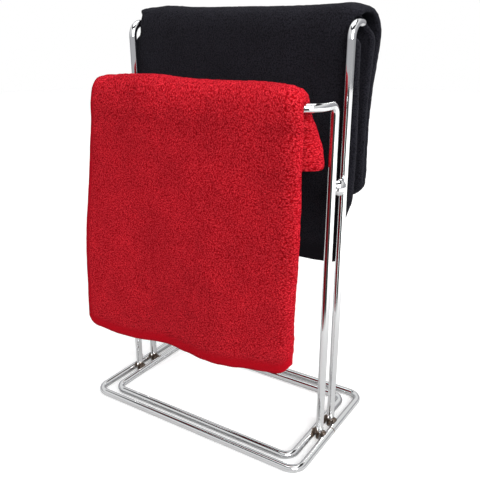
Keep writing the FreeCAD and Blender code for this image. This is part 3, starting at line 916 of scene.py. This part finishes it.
def fold_black_towel(pitch):
    u, v = cloth_grid(black_width, black_length, pitch)
    line = smooth(black_side, black_stations, v.ravel())
    step = np.gradient(line[:, :2], axis=0)
    step /= np.linalg.norm(step, axis=1)[:, None]
    outwards = np.stack([-step[:, 1], step[:, 0]], axis=1)[:, None, :]
    angle = fold_angle(u, black_across, TURN)
    lift = np.cos(angle) * LAYER / 2 * line[:, None, 2]
    y = line[:, None, 0] + outwards[:, :, 0] * lift
    z = line[:, None, 1] + outwards[:, :, 1] * lift
    share = np.where(u < black_across + TURN / 2, u, black_width - u)
    share = np.clip(share / black_across, 0, 1)
    inner_end = ease(v, black_stations[[BLACK_INNER_STARTS, BLACK_INNER_FULL]])
    left, right = black_edges(line, inner_end)
    x = left + (right - left) * share + np.sin(angle) * LAYER / 2
    y = y - inner_end * lean_past_bends(x)
    tail = np.clip((x / MM - TAIL_STARTS) / TAIL_LONG, 0, 1) ** 2
    z = z + TAIL_HIGH * MM * tail * (1 - ease_mm(z, TAIL_HEIGHTS)) * ease_mm(y, TAIL_DEPTHS)
    z = z + through(BLACK_RIDGE, x) * ease_mm(z, BLACK_RIDGE_HEIGHTS)
    near_hem = (1 - ease_mm(z, BLACK_HEM_HEIGHTS)) * (1 - ease_mm(v, BLACK_HEM_LENGTHS))
    z = z + (through(BLACK_HEM, x) + edge_waves(x, *BLACK_EDGE_WAVES)) * near_hem
    y = y + waves(x + BLACK_WAVE_SHIFT, z, *BLACK_WAVES) * ease_mm(y, BLACK_WAVE_DEPTHS)
    return np.stack([x, y, z], axis=2), u, v


black_folded = fold_black_towel(2.35 * MM)
print("black towel", black_folded[0].shape, "points")

# %% [markdown]
# ### From points to cloth
# The points make one sheet of four-sided faces. Solidify gives it its thickness, which is less in
# the hem, where no loops are woven. Last, each point moves in or out a little, so that the outline
# is soft and uneven like a real pile.

# %% The hem
HEM_FADE = (0.5, 1.2)  # shares of the hem's width between which it passes into the pile
SELVEDGE_FADE = (2.5, 4.0)  # the same at the sides, in millimetres
HEM_THINNER = 0.45


def hem_share(u, v, hem_mm):
    """1 in the hems and 0 in the pile, for each point of the cloth."""
    ends = 1 - ease_mm(np.minimum(v, v.max() - v), [share * hem_mm for share in HEM_FADE])
    sides = 1 - ease_mm(np.minimum(u, u.max() - u), SELVEDGE_FADE)
    return np.maximum(ends, sides).ravel()


print("a hem has", 1 - HEM_THINNER, "of the cloth's thickness")


# %% The sheet
def make_sheet(name, folded, hem_mm):
    """A mesh of the folded points, with its hem as an attribute and its flat place as a UV map."""
    points, u, v = folded
    rows, columns = points.shape[:2]
    faces = [
        (r * columns + c, r * columns + c + 1, (r + 1) * columns + c + 1, (r + 1) * columns + c)
        for r in range(rows - 1)
        for c in range(columns - 1)
    ]
    mesh = bpy.data.meshes.new(name)
    mesh.from_pydata(points.reshape(-1, 3).tolist(), [], faces)
    hem = hem_share(u, v, hem_mm)
    stored = mesh.attributes.new("hem", "FLOAT", "POINT")
    stored.data.foreach_set("value", hem.astype(np.float32))
    flat = np.stack(np.broadcast_arrays(u, v), axis=2).reshape(-1, 2)
    corners = np.zeros(len(mesh.loops), np.int32)
    mesh.loops.foreach_get("vertex_index", corners)
    uv = mesh.uv_layers.new(name="cloth")
    uv.data.foreach_set("uv", flat[corners].astype(np.float32).ravel())
    return mesh, hem


print("a sheet takes its points row by row")


# %% The thickness
def thicken(towel, hem):
    shares = np.round(hem, 2)
    thickness = towel.vertex_groups.new(name="thickness")
    for share in np.unique(shares):
        members = np.nonzero(shares == share)[0].tolist()
        thickness.add(members, 1 - HEM_THINNER * float(share), "REPLACE")
    bpy.ops.object.select_all(action="DESELECT")
    bpy.context.view_layer.objects.active = towel
    towel.select_set(True)
    thick = towel.modifiers.new("thick", "SOLIDIFY")
    thick.thickness = CLOTH
    thick.offset = 0
    thick.vertex_group = "thickness"
    thick.use_even_offset = False
    bpy.ops.object.modifier_apply(modifier="thick")


print("the cloth is", round(CLOTH / MM, 2), "mm thick")

# %% The uneven pile
FINE_PER_METRE, SOFT_PER_METRE = 360, 70
SOFT_HEIGHT = 0.42  # against 1 for the fine unevenness
HEM_SMOOTHER = 0.8
SOFT_SHIFT = Vector((3, 7, 1))


def roughen(towel, pile_mm):
    mesh = towel.data
    hem = np.zeros(len(mesh.vertices), np.float32)
    mesh.attributes["hem"].data.foreach_get("value", hem)
    moved = []
    for vertex, share in zip(mesh.vertices, hem):
        place = vertex.co
        fine = noise.noise(place * FINE_PER_METRE) * (1 - HEM_SMOOTHER * share)
        soft = noise.noise(place * SOFT_PER_METRE + SOFT_SHIFT) * SOFT_HEIGHT
        moved.append(place + vertex.normal * (fine + soft) * pile_mm * MM)
    for vertex, place in zip(mesh.vertices, moved):
        vertex.co = place


print("the pile varies over", round(1000 / FINE_PER_METRE, 1), "mm")


# %% Make the towels
def make_towel(name, folded, material, pile_mm, hem_mm):
    mesh, hem = make_sheet(name, folded, hem_mm)
    towel = bpy.data.objects.new(name, mesh)
    scene.collection.objects.link(towel)
    thicken(towel, hem)
    roughen(towel, pile_mm)
    towel.data.materials.append(material)
    bpy.ops.object.shade_smooth()
    print(name, len(towel.data.polygons), "faces")
    return towel


red_towel = make_towel("red_towel", red_folded, red_terry, pile_mm=0.5, hem_mm=10)
black_towel = make_towel("black_towel", black_folded, black_terry, pile_mm=0.3, hem_mm=15)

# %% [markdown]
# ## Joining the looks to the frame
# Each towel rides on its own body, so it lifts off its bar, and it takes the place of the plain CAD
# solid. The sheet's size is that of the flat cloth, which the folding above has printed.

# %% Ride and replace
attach(red_towel, "front_towel_body")
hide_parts("front_towel")
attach(black_towel, "rear_towel_body")
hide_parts("rear_towel")
